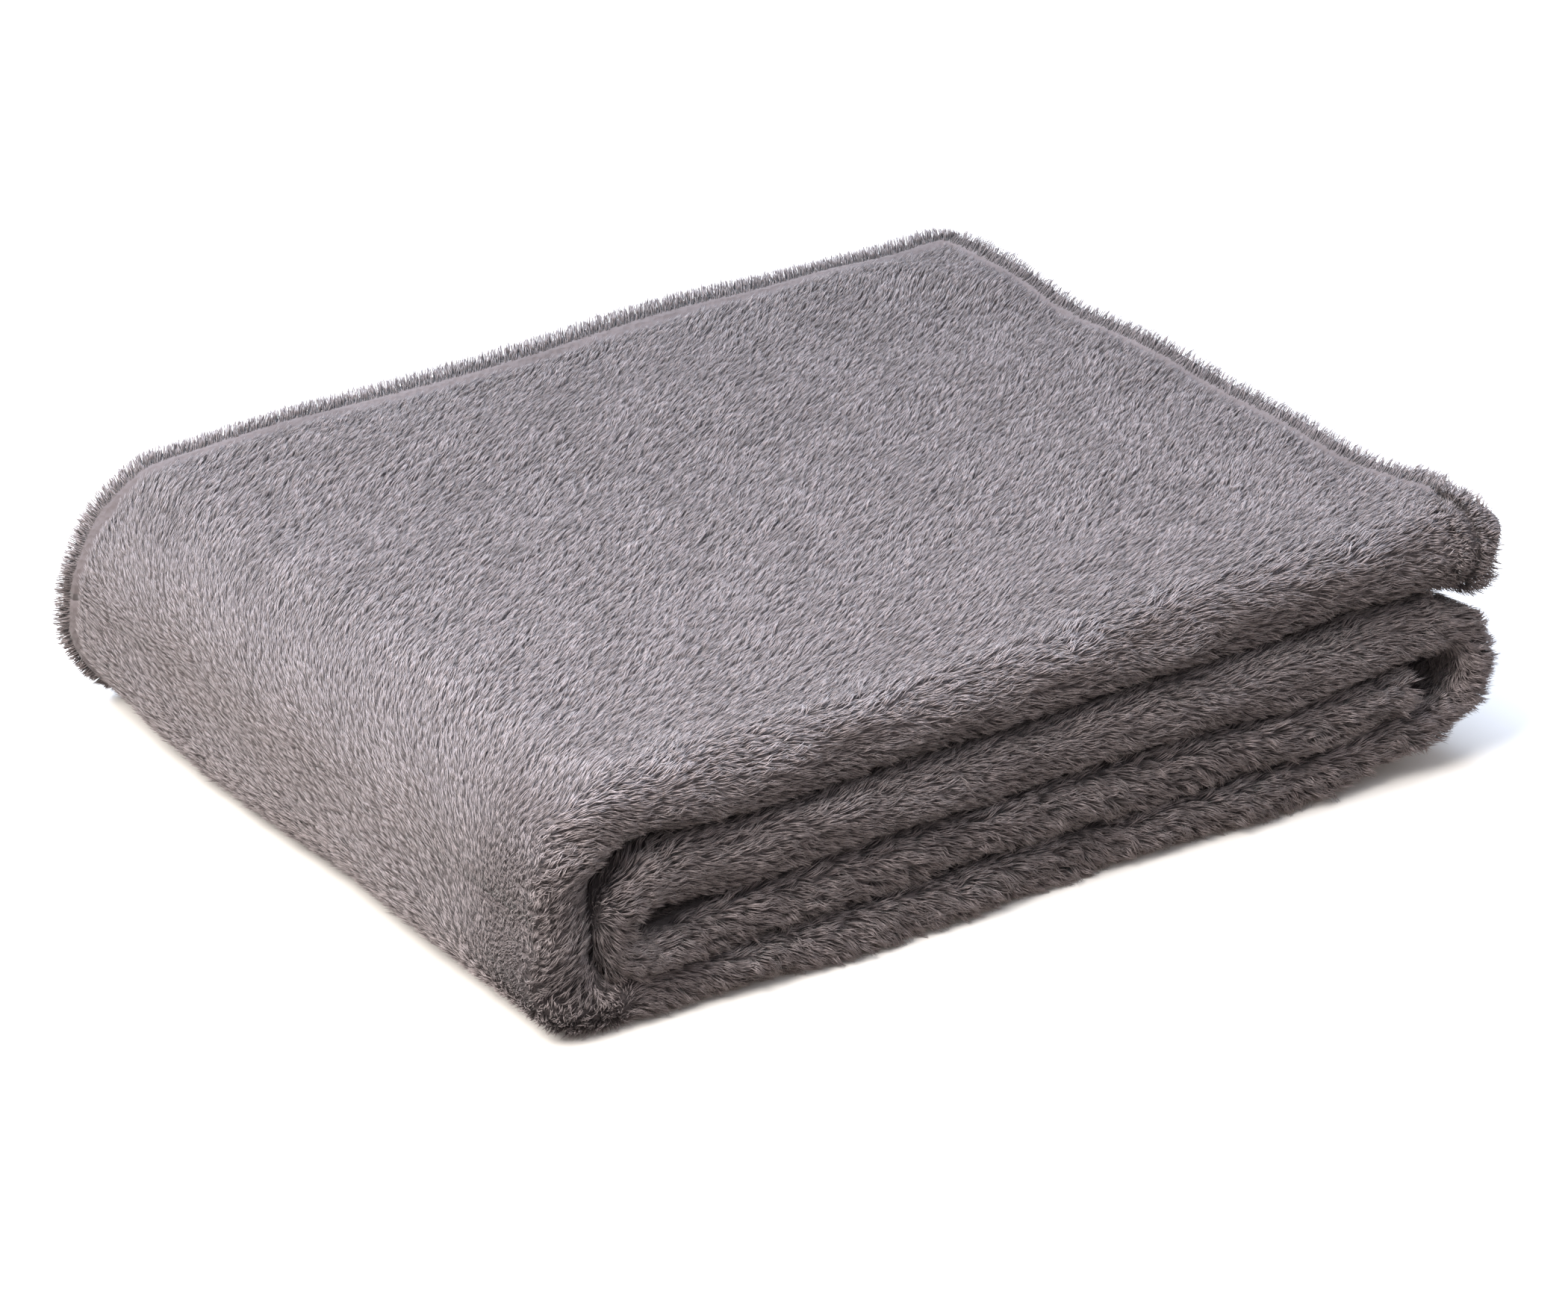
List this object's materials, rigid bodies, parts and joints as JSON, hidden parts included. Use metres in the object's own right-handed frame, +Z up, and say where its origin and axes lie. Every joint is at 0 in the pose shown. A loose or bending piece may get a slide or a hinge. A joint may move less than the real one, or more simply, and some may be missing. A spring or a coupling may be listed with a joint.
{
  "type": "folded throw blanket",
  "caption": "Plush throw blanket folded into a flat spiral stack with a round wrap side and hemmed edges; the top flap unfolds over the wrap side",
  "frame": {"origin": "middle of the bounding box's bottom, on the face that the folded blanket rests on", "axes": "+Z up; Y along the folded strip, from the round wrap side at -Y to the free end of the top flap at +Y; X across the strip, from the hemmed edges at -X to the round folds at +X"},
  "size_m": [0.32, 0.4, 0.094],
  "materials": {
    "plush_pile": "matte",
    "plush_hem": "matte",
    "sewing_thread": "satin"
  },
  "bodies": {
    "stack": {"lower_bend": "plush_pile", "bottom_layer": "plush_pile", "roll_bend": "plush_pile", "second_layer": "plush_pile", "inner_bend": "plush_pile", "third_layer": "plush_pile", "lower_bend_hem": "plush_hem", "bottom_layer_hem": "plush_hem", "roll_bend_hem": "plush_hem", "second_layer_hem": "plush_hem", "inner_bend_hem": "plush_hem", "third_layer_hem": "plush_hem", "third_layer_end_hem": "plush_hem", "bottom_layer_thread": "sewing_thread"},
    "wrap": {"wrap_side": "plush_pile", "wrap_side_hem": "plush_hem", "wrap_side_thread": "sewing_thread", "upper_bend": "plush_pile", "upper_bend_hem": "plush_hem"},
    "flap": {"top_flap": "plush_pile", "top_flap_hem": "plush_hem", "top_flap_end_hem": "plush_hem", "top_flap_thread": "sewing_thread", "top_flap_end_thread": "sewing_thread"}
  },
  "joints": [
    {"name": "flap_unfold", "type": "hinge", "parent": "wrap", "child": "flap", "pos_m": [0, -0.188, 0.082], "axis": [1, 0, 0], "range_deg": [0, 90], "deforming": ["upper_bend", "upper_bend_hem"]},
    {"name": "wrap_unroll", "type": "hinge", "parent": "stack", "child": "wrap", "pos_m": [0, -0.188, 0.012], "axis": [1, 0, 0], "range_deg": [0, 90], "deforming": ["lower_bend", "lower_bend_hem"]}
  ],
  "couplings": [
    {"joint": "wrap_unroll", "follows": "flap_unfold", "ratio": 1}
  ]
}
